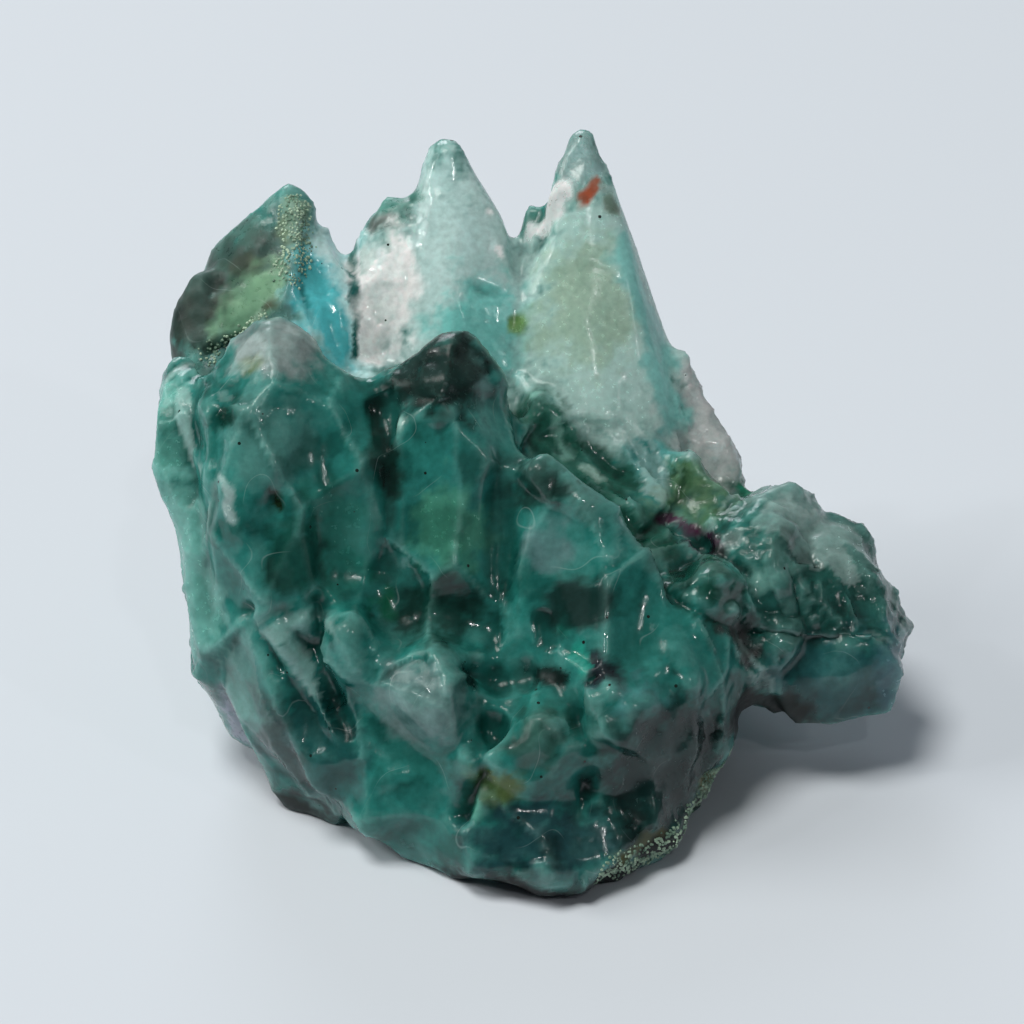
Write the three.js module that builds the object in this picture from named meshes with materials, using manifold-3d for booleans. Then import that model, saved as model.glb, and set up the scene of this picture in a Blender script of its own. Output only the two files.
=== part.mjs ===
// A raw green crystal cluster, in millimetres, +Z up.
// It grew as one piece: tall clear crystals along the back, a leaning wall of cloudy ones in
// front of them, and a knobbly wing that reaches out to the right, clear of the surface.
// The underside lies flat at z = 0. The sizes below are measured from a point inside the root;
// the finished cluster is then moved so that the origin is the bottom middle of its box.

import * as THREE from 'three';
import { ConvexGeometry } from 'three/addons/geometries/ConvexGeometry.js';
import { mergeVertices } from 'three/addons/utils/BufferGeometryUtils.js';
import Module from 'manifold-3d';

const wasm = await Module();
wasm.setup();

// Driving dimensions.
const CORNER_STRAY = 0.1; // how far a crystal's corners stray from an even section, as a share
const LEVEL_STRAY = 0.08; // how far each level's corners stray again, as a share
const LEVEL_DRIFT = 0.3; // how far a corner strays up or down from its level
const LUMP_CORNERS = 30; // corners on one rounded lump
const LUMP_STRAY = 0.1; // how far a lump's corners stray from its ellipsoid, as a share
const ROOT_BULGE = 2; // height at which the root is widest
const ROOT_TOP = 8; // height at which the root ends inside the crystals
const ROOT_UNDERCUT = 0.95; // the root's outline on the ground, as a share of its widest
const ROOT_SHRINK = 0.62; // the root's outline at its top, as a share of its widest
const GROUND_DEPTH = 20; // how deep the block that cuts the underside flat reaches
const GROUND_WIDTH = 120;

const CRYSTAL_COLOUR = '#2f7f74';
const CRYSTAL_ROUGHNESS = 0.25;

// A number from -1 to 1 that is always the same for the same two numbers.
function stray(seed, index) {
  const wave = Math.sin(seed * 127.1 + index * 311.7) * 43758.5453;
  return 2 * (wave - Math.floor(wave)) - 1;
}

// One crystal, from its tip down: each level is [x, y, z, half width, half depth], and the
// faces between two levels are the hull of their corners. turn, in degrees, swings the corners.
function crystal({ levels, sides = 7, turn = 0, seed = 1 }) {
  const rings = levels.map(([x, y, z, wide, deep], level) => {
    const ring = [];
    for (let i = 0; i < sides; i++) {
      const angle = THREE.MathUtils.degToRad(turn + (360 * i) / sides);
      const own = stray(seed + 10 * level, i);
      const reach = 1 + CORNER_STRAY * stray(seed, i) + LEVEL_STRAY * own;
      ring.push(new THREE.Vector3(
        x + wide * reach * Math.cos(angle),
        y + deep * reach * Math.sin(angle),
        z + (level > 0 ? LEVEL_DRIFT : 0.5 * LEVEL_DRIFT) * stray(seed + 10 * level, i + 50),
      ));
    }
    return ring;
  });
  return joined(rings.slice(1).map((ring, i) => solid(new ConvexGeometry([...rings[i], ...ring]))));
}

// One rounded lump: corners spread evenly over an ellipsoid, each strayed a little.
function lump({ at, size, seed = 1 }) {
  const corners = [];
  const golden = Math.PI * (3 - Math.sqrt(5));
  for (let i = 0; i < LUMP_CORNERS; i++) {
    const height = 1 - (2 * i + 1) / LUMP_CORNERS;
    const ring = Math.sqrt(1 - height * height);
    const reach = 1 + LUMP_STRAY * stray(seed, i);
    corners.push(new THREE.Vector3(
      at[0] + size[0] * reach * ring * Math.cos(golden * i + seed),
      at[1] + size[1] * reach * ring * Math.sin(golden * i + seed),
      at[2] + size[2] * reach * height,
    ));
  }
  return solid(new ConvexGeometry(corners));
}

// The root that the crystals grew from: its widest outline, drawn in a little to the ground
// and further to its top.
function root({ outline, middle }) {
  const corners = [[0, ROOT_UNDERCUT], [ROOT_BULGE, 1], [ROOT_TOP, ROOT_SHRINK]].flatMap(
    ([z, share]) => outline.map(([x, y]) => new THREE.Vector3(
      middle[0] + share * (x - middle[0]),
      middle[1] + share * (y - middle[1]),
      z,
    )),
  );
  return solid(new ConvexGeometry(corners));
}

// Several solids grown into one.
function joined(solids) {
  return solids.reduce((whole, piece) => whole.add(piece));
}

// A three.js geometry as a solid that can be joined and cut.
function solid(geometry) {
  geometry.deleteAttribute('normal');
  if (geometry.attributes.uv) geometry.deleteAttribute('uv');
  const merged = mergeVertices(geometry, 1e-4);
  return new wasm.Manifold(new wasm.Mesh({
    numProp: 3,
    vertProperties: new Float32Array(merged.attributes.position.array),
    triVerts: new Uint32Array(merged.index.array),
  }));
}

// A solid as a three.js geometry.
function geometryOf(body) {
  const mesh = body.getMesh();
  const geometry = new THREE.BufferGeometry();
  geometry.setAttribute('position', new THREE.BufferAttribute(mesh.vertProperties, 3));
  geometry.setIndex(new THREE.BufferAttribute(mesh.triVerts, 1));
  return geometry;
}

// The clear crystals along the back.
const backCrystals = [
  // Left: a broad wedge with a mossy face, and the dark lobe on its side.
  {
    levels: [
      [-12.8, 15.8, 27.3, 0.9, 0.8], [-13.2, 15, 25.6, 2.6, 2], [-13.4, 13.8, 23.6, 4.3, 3.2],
      [-13.4, 12.6, 21.8, 5, 3.9], [-12.6, 11.4, 17, 5.4, 5], [-10, 8, 4, 5.4, 6], [-9, 7, 0, 5, 5.4],
    ],
    sides: 6, turn: 35, seed: 3,
  },
  {
    levels: [
      [-17.5, 12.3, 24, 0.9, 1], [-17.8, 11.4, 22, 1.7, 2], [-17, 9.6, 18, 2.4, 3],
      [-13, 7, 8, 3.4, 4],
    ],
    sides: 6, turn: 10, seed: 21,
  },
  // Middle: the pale point, and the rough shoulder on its left.
  {
    levels: [
      [-3.6, 18.6, 29.3, 0.7, 0.7], [-3.7, 17.7, 27.6, 1.7, 1.5], [-3.2, 16.4, 25.4, 3.1, 2.6],
      [-3.5, 14.6, 22.8, 4, 3.6], [-3.8, 12, 18, 5, 5], [-2.5, 8.5, 6, 5.4, 6.4], [-2, 8, 0, 5, 6],
    ],
    sides: 6, turn: 30, seed: 8,
  },
  {
    levels: [
      [-6.6, 16.6, 26.6, 0.8, 0.8], [-7.2, 15.8, 25, 1.8, 1.6], [-7.6, 13.6, 21.4, 2.6, 2.8],
      [-7, 10.6, 12, 4, 5],
    ],
    sides: 6, turn: 0, seed: 22,
  },
  // Right: the tall tapering crystal.
  {
    levels: [
      [4.2, 18.8, 29.9, 0.8, 0.7], [4, 17.5, 27.6, 1.8, 1.7], [4.5, 16, 25, 2.5, 2.4],
      [4.2, 14, 22, 4.2, 3.5], [5, 11.8, 18.2, 4.7, 4.6], [6.4, 10, 14.6, 4, 5.2],
      [6, 8, 5, 4.4, 5.6], [5.4, 7, 0, 4.4, 5],
    ],
    sides: 7, turn: 12, seed: 9,
  },
  // The small dark one between the middle and right ones.
  {
    levels: [[1.1, 17, 26, 0.6, 0.6], [1.1, 16, 23.6, 1.1, 1.2], [1, 12, 14, 3, 3]],
    sides: 6, seed: 4,
  },
  // Clear ones behind the right one, stepping down.
  {
    levels: [[9.9, 12, 19, 0.5, 0.6], [10.2, 10.6, 16.3, 1.3, 1.4], [9.5, 8, 9, 3, 3]],
    sides: 6, seed: 5,
  },
  {
    levels: [[11.2, 10.2, 16.8, 0.5, 0.6], [11.6, 9.2, 14.6, 1.2, 1.5], [11, 7, 8, 3, 3]],
    sides: 6, seed: 6,
  },
  {
    levels: [[12.2, 8.6, 14.8, 0.5, 0.6], [12.6, 7.4, 12.5, 1.4, 1.8], [11.5, 5, 7, 3, 3]],
    sides: 6, seed: 7,
  },
  // Low ones at the very back.
  {
    levels: [[-8.6, 18.4, 15.6, 0.8, 0.8], [-8.4, 16.8, 12.6, 2.6, 2.2], [-7, 11, 1, 4, 4]],
    sides: 6, turn: 20, seed: 31,
  },
  {
    levels: [[1, 18.6, 13.6, 0.7, 0.7], [1, 16.8, 10.8, 2.4, 2], [0.6, 11, 0, 4, 4.4]],
    sides: 6, turn: 5, seed: 32,
  },
  {
    levels: [[8.4, 16.6, 14.4, 0.6, 0.6], [8.2, 14.8, 11.6, 2.3, 2], [6, 9, 0, 4, 4]],
    sides: 6, turn: 40, seed: 33,
  },
  {
    levels: [[-15.4, 13.6, 12, 0.7, 0.7], [-14.6, 12.2, 9.4, 2.2, 1.9], [-11, 8, 0, 3.6, 4]],
    sides: 6, turn: 0, seed: 34,
  },
];

// The cloudy crystals of the front wall, from left to right.
const frontCrystals = [
  {
    levels: [
      [-12.8, 5.8, 24.6, 1.4, 1.1], [-13, 5.2, 23.4, 2.8, 2.4], [-13.6, 4, 21.4, 3.9, 3.8],
      [-13.6, 2.2, 19.2, 3.9, 4.2], [-12.8, 0, 15.4, 3.7, 4.1], [-12, -3, 9, 3.8, 3.6],
      [-9, -5, 0, 4, 3.6],
    ],
    sides: 8, turn: 25, seed: 12,
  },
  {
    levels: [
      [-10.8, 5, 23, 1, 0.8], [-10.1, 4.2, 21.2, 2.2, 1.9], [-9.5, 3, 19, 2.9, 2.8],
      [-9, 0.6, 15, 3.1, 3.2], [-8.6, -3, 9.6, 3.2, 3.2], [-7, -6, 1, 4, 4],
    ],
    sides: 7, turn: 5, seed: 13,
  },
  {
    levels: [
      [-3.7, 6, 23.8, 0.9, 0.7], [-3.8, 5.7, 22.8, 2, 1.6], [-4.3, 4.7, 21.2, 3.6, 2.8],
      [-4, 3.2, 19, 4, 3.4], [-3.5, 0.8, 15.6, 3.5, 3.2], [-3.2, -2.5, 10, 3.6, 3],
      [-2, -6, 2, 5, 4],
    ],
    sides: 7, turn: 0, seed: 14,
  },
  {
    levels: [
      [2, 0.8, 18.5, 0.7, 0.6], [2.5, 0, 17, 1.9, 1.5], [3.2, -1.4, 14.8, 3.3, 2.6],
      [4.1, -3.1, 12.4, 4.5, 3.4], [5, -4.5, 9.8, 5.2, 3.8], [5.2, -6.4, 6, 5.6, 4],
      [4, -7, 0, 6, 4.6],
    ],
    sides: 7, turn: 15, seed: 17,
  },
  // The thin ribbed sheet down the left edge.
  {
    levels: [
      [-18.3, 6.6, 21.6, 0.9, 1.4], [-18.9, 5.3, 19.8, 1.5, 2.5], [-18.3, 3, 16.6, 1.6, 3],
      [-17, 0.5, 12.2, 1.6, 3], [-15.2, -1.2, 7.5, 2, 3], [-13.5, -1.6, 2, 2.6, 2.6],
    ],
    sides: 7, turn: 0, seed: 19,
  },
  // The glassy ridge in the valley between the front wall and the right-hand crystal.
  {
    levels: [[1.4, 7.2, 18.6, 0.5, 0.6], [3.6, 4.6, 15, 1.6, 1.6], [8, 0, 8, 3, 3]],
    sides: 6, seed: 41,
  },
  // The olive face between that valley and the wing.
  {
    levels: [[9.6, 6.4, 15.6, 0.7, 0.8], [11.2, 5, 13.4, 2, 1.6], [11, 2.5, 8, 3, 3]],
    sides: 6, seed: 42,
  },
];

// The smooth block that ends the wing.
const wingEnd = {
  levels: [[18.2, 1, 10.4, 3.2, 2.6], [18.3, -0.6, 7.6, 4.2, 3.7], [17.9, -1.8, 4.1, 4, 2.7]],
  sides: 7, turn: 20, seed: 51,
};

// The root, in plan.
const rootShape = {
  outline: [
    [-15.7, 1.8], [-14, -2.4], [-12, -5.6], [-9, -8.8], [-4.2, -13.2], [-1.8, -14.5],
    [2, -14.7], [6.8, -13.7], [9.2, -10.6], [11, -7.2], [12.3, -3], [12.4, 2],
    [10.6, 8], [4, 13], [-4, 14.2], [-11, 12.6], [-15.4, 7.5],
  ],
  middle: [-2, 0],
};

// Rounded masses: the heart that fills the cluster, the knobs of the lower front and the wing.
const lumps = [
  { at: [-2, 4, 8], size: [13, 10, 8], seed: 2 },
  { at: [1.5, -5.8, 4.2], size: [9, 6.4, 6.2], seed: 26 },
  { at: [-6.5, -4.6, 4.6], size: [6.4, 5.6, 6.4], seed: 27 },
  { at: [-11.6, -2.6, 5.5], size: [3.6, 4, 5], seed: 5 },
  { at: [-8.8, -4.6, 10.2], size: [2.1, 2.4, 3], seed: 14 },
  { at: [-4, -6.2, 8], size: [3.6, 3.2, 3.6], seed: 3 },
  { at: [1.4, -8, 6], size: [2.7, 3.2, 4.2], seed: 4 },
  { at: [7, -6.8, 6.2], size: [3.6, 3.6, 3.8], seed: 15 },
  { at: [-5.6, -8, 3], size: [4.2, 3.8, 3.8], seed: 16 },
  { at: [1.8, -10, 1.4], size: [4.8, 3.8, 3.8], seed: 18 },
  { at: [6.4, -8.8, 2], size: [3.8, 3.6, 3.8], seed: 20 },
  { at: [1, 4.5, 13], size: [3.5, 3.5, 3.5], seed: 23 },
  { at: [5.5, 3.5, 11.5], size: [4, 3.5, 3.5], seed: 24 },
  { at: [-7.5, 8, 16], size: [3.5, 4, 4], seed: 25 },
  { at: [9, -1.5, 7.4], size: [5.4, 5.6, 5.6], seed: 6 },
  { at: [9.8, -4, 4.6], size: [3.2, 3.6, 3.8], seed: 17 },
  // The wing.
  { at: [13.4, 2.4, 9.4], size: [4.6, 5, 4.8], seed: 7 },
  { at: [14, -0.8, 6.8], size: [4.2, 3.8, 3.4], seed: 13 },
  { at: [17, 2.2, 8.8], size: [4.8, 4.4, 4], seed: 8 },
  { at: [15.2, 4.8, 12], size: [2.7, 2.4, 2.4], seed: 10 },
  { at: [18.9, 3.9, 10.4], size: [2.4, 2.2, 2.3], seed: 11 },
  { at: [20.8, 0.8, 7.2], size: [1.9, 2.6, 2.6], seed: 12 },
];

const pieces = [
  root(rootShape),
  ...lumps.map(lump),
  ...backCrystals.map(crystal),
  ...frontCrystals.map(crystal),
  crystal(wingEnd),
];
const ground = solid(new THREE.BoxGeometry(GROUND_WIDTH, GROUND_WIDTH, GROUND_DEPTH))
  .translate([0, 0, -GROUND_DEPTH / 2]);

const cluster = new THREE.Mesh(
  geometryOf(joined(pieces).subtract(ground)),
  new THREE.MeshStandardMaterial({ color: CRYSTAL_COLOUR, roughness: CRYSTAL_ROUGHNESS, metalness: 0 }),
);
cluster.name = 'crystal_cluster';

const middle = new THREE.Box3().setFromObject(cluster).getCenter(new THREE.Vector3());
const specimen = new THREE.Group();
specimen.position.set(-middle.x, -middle.y, 0);
specimen.add(cluster);

export default specimen;
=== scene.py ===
import math

import bmesh
import bpy
import numpy as np
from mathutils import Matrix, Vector, noise


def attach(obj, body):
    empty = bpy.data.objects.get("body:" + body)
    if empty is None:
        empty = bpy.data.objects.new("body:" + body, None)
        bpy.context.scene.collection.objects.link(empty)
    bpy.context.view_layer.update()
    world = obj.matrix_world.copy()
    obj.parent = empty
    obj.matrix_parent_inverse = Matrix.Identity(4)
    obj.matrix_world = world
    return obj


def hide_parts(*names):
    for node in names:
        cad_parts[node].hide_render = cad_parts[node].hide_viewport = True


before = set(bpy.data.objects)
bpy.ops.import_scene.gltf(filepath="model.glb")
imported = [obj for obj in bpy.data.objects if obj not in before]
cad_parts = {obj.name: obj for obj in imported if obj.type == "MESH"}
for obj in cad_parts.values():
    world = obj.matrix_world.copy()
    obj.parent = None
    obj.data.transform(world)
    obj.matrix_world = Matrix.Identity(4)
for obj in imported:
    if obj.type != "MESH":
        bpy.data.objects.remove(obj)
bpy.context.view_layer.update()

# ---------------------------------------------------------------------------------------------
# The table and the light. The specimen stands on a sheet of smooth matt white card that runs on
# behind it. Big soft lights hang overhead, at the left and behind, in a dim tent of daylight, and
# three small lamps put the glints on the wet-looking edges.
# ---------------------------------------------------------------------------------------------
MM = 0.001
ROOT = Vector((-1.24, -2.41, 0))  # the point inside the root that places are measured from


def place(x, y, z):
    """A place in millimetres from the point inside the root, in metres from the middle of the base."""
    return (Vector((x, y, z)) + ROOT) * MM


def linear(hex_colour):
    """An sRGB hex colour as the linear values that shaders take."""
    channels = [int(hex_colour[i:i + 2], 16) / 255 for i in (1, 3, 5)]
    return tuple(c / 12.92 if c <= 0.04045 else ((c + 0.055) / 1.055) ** 2.4 for c in channels) + (1,)


def add(tree, kind, links=None, **settings):
    """Adds a node with its settings, and feeds each socket named in links a value or another socket."""
    node = tree.nodes.new(kind)
    for name, value in settings.items():
        setattr(node, name, value)
    for name, value in (links or {}).items():
        if isinstance(value, bpy.types.NodeSocket):
            tree.links.new(value, node.inputs[name])
        else:
            node.inputs[name].default_value = value
    return node


def material(name):
    """A new material with an empty tree, and that tree."""
    made = bpy.data.materials.new(name)
    made.use_nodes = True
    made.node_tree.nodes.clear()
    return made, made.node_tree


def stand(name, mesh, *materials):
    """A new object at the origin that shows mesh, with its materials."""
    for one in materials:
        mesh.materials.append(one)
    made = bpy.data.objects.new(name, mesh)
    bpy.context.scene.collection.objects.link(made)
    return made


# Matt card: no shine to speak of, and the faint blue of daylight.
CARD = "#c6cdd5"
CARD_HALF = 2.0
card_white, tree = material("matt white card")
shader = add(tree, "ShaderNodeBsdfPrincipled", {"Base Color": linear(CARD), "Roughness": 0.9})
shader.inputs["Specular IOR Level"].default_value = 0.2
add(tree, "ShaderNodeOutputMaterial", {"Surface": shader.outputs["BSDF"]})
card_mesh = bpy.data.meshes.new("card")
card_corners = [(x * CARD_HALF, y * CARD_HALF, 0) for x, y in ((-1, -1), (1, -1), (1, 1), (-1, 1))]
card_mesh.from_pydata(card_corners, [], [(0, 1, 2, 3)])
stand("card", card_mesh, card_white)

SKY = "#dfe6ee"
SKY_FRONT = 0.06
SKY_BACK = 0.2
SKY_RISE = (-0.4, 0.6)  # where, from the front (-1) to the back (1), the tent starts and ends to brighten
world = bpy.data.worlds.new("daylight tent")
world.use_nodes = True
world.node_tree.nodes.clear()
facing = add(world.node_tree, "ShaderNodeTexCoord").outputs["Generated"]
backwards = add(world.node_tree, "ShaderNodeSeparateXYZ", {0: facing}).outputs["Y"]
glow = add(world.node_tree, "ShaderNodeMapRange",
           {0: backwards, 1: SKY_RISE[0], 2: SKY_RISE[1], 3: SKY_FRONT, 4: SKY_BACK})
sky = add(world.node_tree, "ShaderNodeBackground", {"Color": linear(SKY), "Strength": glow.outputs[0]})
add(world.node_tree, "ShaderNodeOutputWorld", {"Surface": sky.outputs["Background"]})
bpy.context.scene.world = world

LAMPS = [
    # name, place in metres, size in metres, watts, colour, whether it shows in the faces of the crystal
    ("overhead softbox", (-0.30, -0.06, 1.00), 0.40, 8.5, "#fffdf8", False),
    ("left window", (-0.85, 0.05, 0.60), 0.45, 4.2, "#fffdf8", False),
    ("back softbox", (-0.25, 0.95, 0.60), 0.50, 2.7, "#f4f8ff", True),
    ("front lamp", (0.20, -0.60, 0.90), 0.035, 0.5, "#ffffff", True),
    ("left lamp", (-0.70, -0.10, 0.75), 0.045, 0.45, "#ffffff", True),
    ("side lamp", (0.60, -0.40, 0.60), 0.03, 0.25, "#ffffff", True),
]
for name, spot, size, watts, colour, mirrored in LAMPS:
    light = bpy.data.lights.new(name, "AREA")
    light.shape = "DISK"
    light.size = size
    light.energy = watts
    light.color = linear(colour)[:3]
    lamp = bpy.data.objects.new(name, light)
    lamp.location = spot
    lamp.rotation_euler = (-Vector(spot)).to_track_quat("-Z", "Y").to_euler()
    lamp.visible_glossy = mirrored
    bpy.context.scene.collection.objects.link(lamp)

ELEVATION = math.radians(35)
DISTANCE = 0.19
AIM = place(0, 0, 16)
FOCAL_LENGTH = 120
SENSOR = 36
camera = bpy.data.objects.new("camera", bpy.data.cameras.new("camera"))
camera.data.lens = FOCAL_LENGTH
camera.data.sensor_width = SENSOR
camera.data.clip_start = 0.01
camera.location = AIM + DISTANCE * Vector((0, -math.cos(ELEVATION), math.sin(ELEVATION)))
camera.rotation_euler = (math.pi / 2 - ELEVATION, 0, 0)
bpy.context.scene.collection.objects.link(camera)
bpy.context.scene.camera = camera
bpy.context.scene.view_settings.view_transform = "Standard"
bpy.context.scene.cycles.max_bounces = 8
bpy.context.scene.cycles.diffuse_bounces = 3
bpy.context.scene.cycles.transmission_bounces = 6
bpy.context.scene.cycles.caustics_reflective = False
bpy.context.scene.cycles.sample_clamp_indirect = 1.0

# ---------------------------------------------------------------------------------------------
# The crystal cluster. One piece of cloudy green beryl, grown as a druse and broken out of its
# rock, so its faces are part growth faces and part glassy fractures. It starts as the plain solid:
# its front crystals grow together, ridges and creases are pressed in, and its faces are broken.
# ---------------------------------------------------------------------------------------------
COARSE = 0.3 * MM
FINE = 0.25 * MM  # the finest shape that the surface holds
GROWN = 1.7  # millimetres, and front crystals closer together than twice this have grown into one
FRONT_WALL = ((-3, -1, 11), (15, 11, 14))  # its middle and half sizes in millimetres, as places are given
WALL_BLEND = 0.12


def points_of(mesh):
    """A mesh's points, in millimetres from the point inside the root."""
    flat = np.empty(3 * len(mesh.vertices))
    mesh.vertices.foreach_get("co", flat)
    return flat.reshape(-1, 3) / MM - np.array(ROOT)


def push(mesh, distance):
    """Moves each point of a mesh along its normal by its distance in millimetres."""
    normals = np.empty(3 * len(mesh.vertices))
    mesh.vertex_normals.foreach_get("vector", normals)
    moved = points_of(mesh) + normals.reshape(-1, 3) * distance[:, None]
    mesh.vertices.foreach_set("co", ((moved + np.array(ROOT)) * MM).ravel())
    mesh.update()


def applied(obj):
    """Leaves obj as its modifiers make it, as a plain mesh of its own."""
    evaluated = obj.evaluated_get(bpy.context.evaluated_depsgraph_get())
    mesh = bpy.data.meshes.new_from_object(evaluated)
    mesh.name = obj.name
    obj.modifiers.clear()
    obj.data = mesh


def even(obj, size, passes):
    """Gives obj an even closed mesh of about the size given, and smooths it."""
    remesh = obj.modifiers.new("even mesh", "REMESH")
    remesh.mode = "VOXEL"
    remesh.voxel_size = size
    smooth = obj.modifiers.new("worn", "SMOOTH")
    smooth.iterations = passes
    applied(obj)


def apart(points, line):
    """How far each point lies from a line of places, in millimetres."""
    nearest = np.full(len(points), np.inf)
    corners = [np.array(corner, dtype=float) for corner in line]
    for start, end in zip(corners, corners[1:] or corners):
        along = end - start
        length = max(along @ along, 1e-9)
        share = np.clip((points - start) @ along / length, 0, 1)
        nearest = np.minimum(nearest, np.linalg.norm(points - start - share[:, None] * along, axis=1))
    return nearest


def within(points, middle, size):
    """How far each point lies from middle, where 1 is the skin of an ellipsoid of the half sizes given."""
    return np.linalg.norm((points - np.array(middle)) / np.array(size), axis=1)


def fade(distance, edge):
    """1 inside, 0 outside, and a soft step of the width given, twice, where the distance is 1."""
    step = np.clip((1 + edge - distance) / (2 * edge), 0, 1)
    return step * step * (3 - 2 * step)


work = bmesh.new()
work.from_mesh(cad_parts["crystal_cluster"].data)
bmesh.ops.remove_doubles(work, verts=work.verts, dist=1e-6)
shape = bpy.data.meshes.new("crystal_cluster_body")
work.to_mesh(shape)
work.free()
shape.materials.clear()
body = stand("crystal_cluster_body", shape)

# The front wall grows together: it swells into its gaps, and shrinks back without opening them.
even(body, COARSE, 1)
for swell in (GROWN, -GROWN):
    wall = fade(within(points_of(body.data), *FRONT_WALL), WALL_BLEND)
    push(body.data, swell * wall)
    even(body, COARSE, 2)
even(body, FINE, 1)

STROKES = [
    # what it is, the line it follows, how far it reaches to each side, how high it stands
    ("ridge down the left lobe",
     [(-18.4, 4.2, 20.7), (-17.4, 2.3, 18.6), (-15.6, -1.5, 18.6), (-15, -2.8, 16.6)], 1.1, 0.5),
    ("crevice beside the sheet", [(-17.4, 2.4, 17.6), (-16.8, -0.4, 14.6), (-16, -2.6, 11.5)], 1.0, -1.1),
    ("second crevice in the sheet", [(-18.6, 3, 17.5), (-17.8, 0.2, 14), (-17, -1.6, 11)], 0.5, -0.4),
    ("slit", [(-13, -2.1, 18.6), (-13.1, -2.4, 17.6)], 0.4, -0.25),
    ("crease between left and middle",
     [(-7.4, 4, 21.6), (-6.9, 1.9, 20), (-6.9, -0.4, 17), (-7, -2.6, 14)], 1.1, -0.8),
    ("edge of the middle crystal", [(-6.3, 2, 20.6), (-6.3, -0.3, 17.2), (-6.2, -2, 14)], 0.6, 0.35),
    ("rim under its dark top", [(-6.3, 2.6, 20.8), (-4.2, 1.8, 20.8), (-2.4, 3, 21.4)], 0.5, 0.4),
    ("crease between middle and right",
     [(-0.6, 1, 18.6), (-0.6, -2, 15), (-0.7, -4.6, 11.6), (-0.7, -7, 9.6)], 1.2, -0.7),
    ("shoulder of the right lobe",
     [(1.6, 0.6, 18.4), (4.8, -0.8, 15.8), (7.8, -3.2, 13), (9.4, -7, 9.6)], 1.4, 0.8),
    ("fold down the right lobe", [(1.6, -5.4, 12.6), (2.2, -7.2, 10)], 0.7, -0.5),
    ("hollow above the lower knobs", [(-3, -7.2, 10.4), (-1.2, -7.4, 10.2)], 1.2, -0.9),
    ("second hollow", [(0.6, -7, 10.1), (2.6, -7.4, 9.8)], 1.1, -0.9),
    ("knob on the lower left", [(-8.9, -6.2, 12.4), (-8.6, -6.6, 10.6)], 2.2, 0.8),
    ("groove around that knob", [(-10.6, -4.6, 13), (-10.8, -6, 11), (-10, -7.6, 9)], 1.0, -1.0),
    ("first slab edge", [(-15.6, -3.4, 12), (-13, -6.4, 8.4), (-10.6, -8.6, 4.4)], 0.8, 0.5),
    ("groove beside the first slab", [(-14.4, -4.4, 12.4), (-11.9, -7, 8.8), (-9.6, -9, 4.8)], 0.9, -0.8),
    ("second slab edge", [(-13, -5, 12), (-10.6, -7.6, 8.2), (-7.6, -10, 3.8)], 0.9, 0.5),
    ("groove beside the second slab",
     [(-11.8, -5.6, 11.4), (-9.4, -8.2, 7.4), (-6.6, -10.6, 3.4)], 0.9, -0.8),
    ("cloudy knob", [(-5.6, -8.4, 9.6), (-4.2, -9.4, 8.6)], 2.6, 0.4),
    ("grey-green knob", [(1.4, -10, 8.8), (1.2, -11, 6)], 2.4, 0.7),
    ("knob beside it", [(6.2, -9, 9)], 2.4, 0.4),
    ("groove between the knobs", [(-1.2, -9.6, 8.6), (-1.6, -11, 6.2), (-2.6, -12, 4)], 1.1, -1.0),
    ("groove right of the knobs", [(3.8, -9.4, 9), (4.2, -10.6, 6.4), (3.6, -12, 4)], 1.1, -1.0),
    ("first ridge in the valley",
     [(0.6, 9.4, 18.8), (2, 6.6, 17.6), (5, 5, 15), (7.4, 3.4, 13.8)], 0.6, 0.6),
    ("second ridge in the valley", [(1.4, 7.4, 17.2), (3.6, 4.4, 15.8), (6.6, 2, 13.8)], 0.5, 0.5),
    ("third ridge in the valley", [(2.4, 4.6, 16.8), (5, 2.4, 14.6), (7.6, 0.2, 13.2)], 0.5, 0.5),
    ("crevice along the valley",
     [(7.6, 3.6, 13.4), (8.4, 3.2, 13.2), (10.6, 1.4, 12.7), (13.1, -0.7, 12.2)], 0.7, -0.8),
    ("crevice beside the right lobe", [(7.4, 0.4, 13.2), (8.6, -2.8, 12.6), (9.8, -5.4, 10.4)], 0.8, -0.8),
    ("edge of the emerald faces", [(10.2, -2.8, 11.6), (12.4, -3.2, 11.2)], 0.6, 0.5),
    ("first pleat of the wing", [(14.6, -0.4, 12.8), (15.6, -1.6, 10.6)], 0.6, 0.5),
    ("second pleat of the wing", [(16, -0.4, 12.2), (16.9, -1.8, 10)], 0.6, 0.5),
    ("third pleat of the wing", [(17.3, -0.6, 11.6), (18, -2, 9.4)], 0.6, 0.5),
    ("fourth pleat of the wing", [(19, -1, 11), (19.6, -2.2, 9)], 0.6, 0.5),
    ("groove above the wing's end", [(13.4, -2.6, 9.6), (16, -2.6, 9.4), (20, -2.4, 9.2)], 0.8, -0.5),
    ("groove between the wing's knobs", [(16.6, 2.2, 13), (17.2, 0.2, 12.2)], 0.9, -0.6),
    ("fracture across the middle point",
     [(-2.8, 12.4, 23.4), (-1.6, 11.9, 23), (-0.4, 12, 22.8)], 0.5, -0.35),
    ("spur on the tall crystal's left", [(2.6, 16.2, 27.3), (1.3, 15.4, 24.2)], 0.7, 0.5),
    ("edge along the left crystal's crust",
     [(-12.4, 14.6, 26.8), (-12.3, 13.2, 25.2), (-13, 11, 23.2), (-15, 9, 21.6)], 0.9, 0.5),
    ("step under the mossy face", [(-13.6, 10.6, 22.4), (-15.6, 9.2, 21.4), (-17.4, 8.8, 20.8)], 0.6, -0.6),
    ("fold beside the dark lobe", [(-17, 12, 24), (-17.4, 10.6, 22), (-17.6, 9.6, 20.6)], 0.7, -0.5),
    ("undercut of the rim",
     [(-4, -13.4, 0.4), (2, -14.4, 0.4), (7, -13.2, 0.6), (10, -9.6, 0.8), (11.6, -5, 1.2)], 0.9, -0.35),
]
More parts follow.
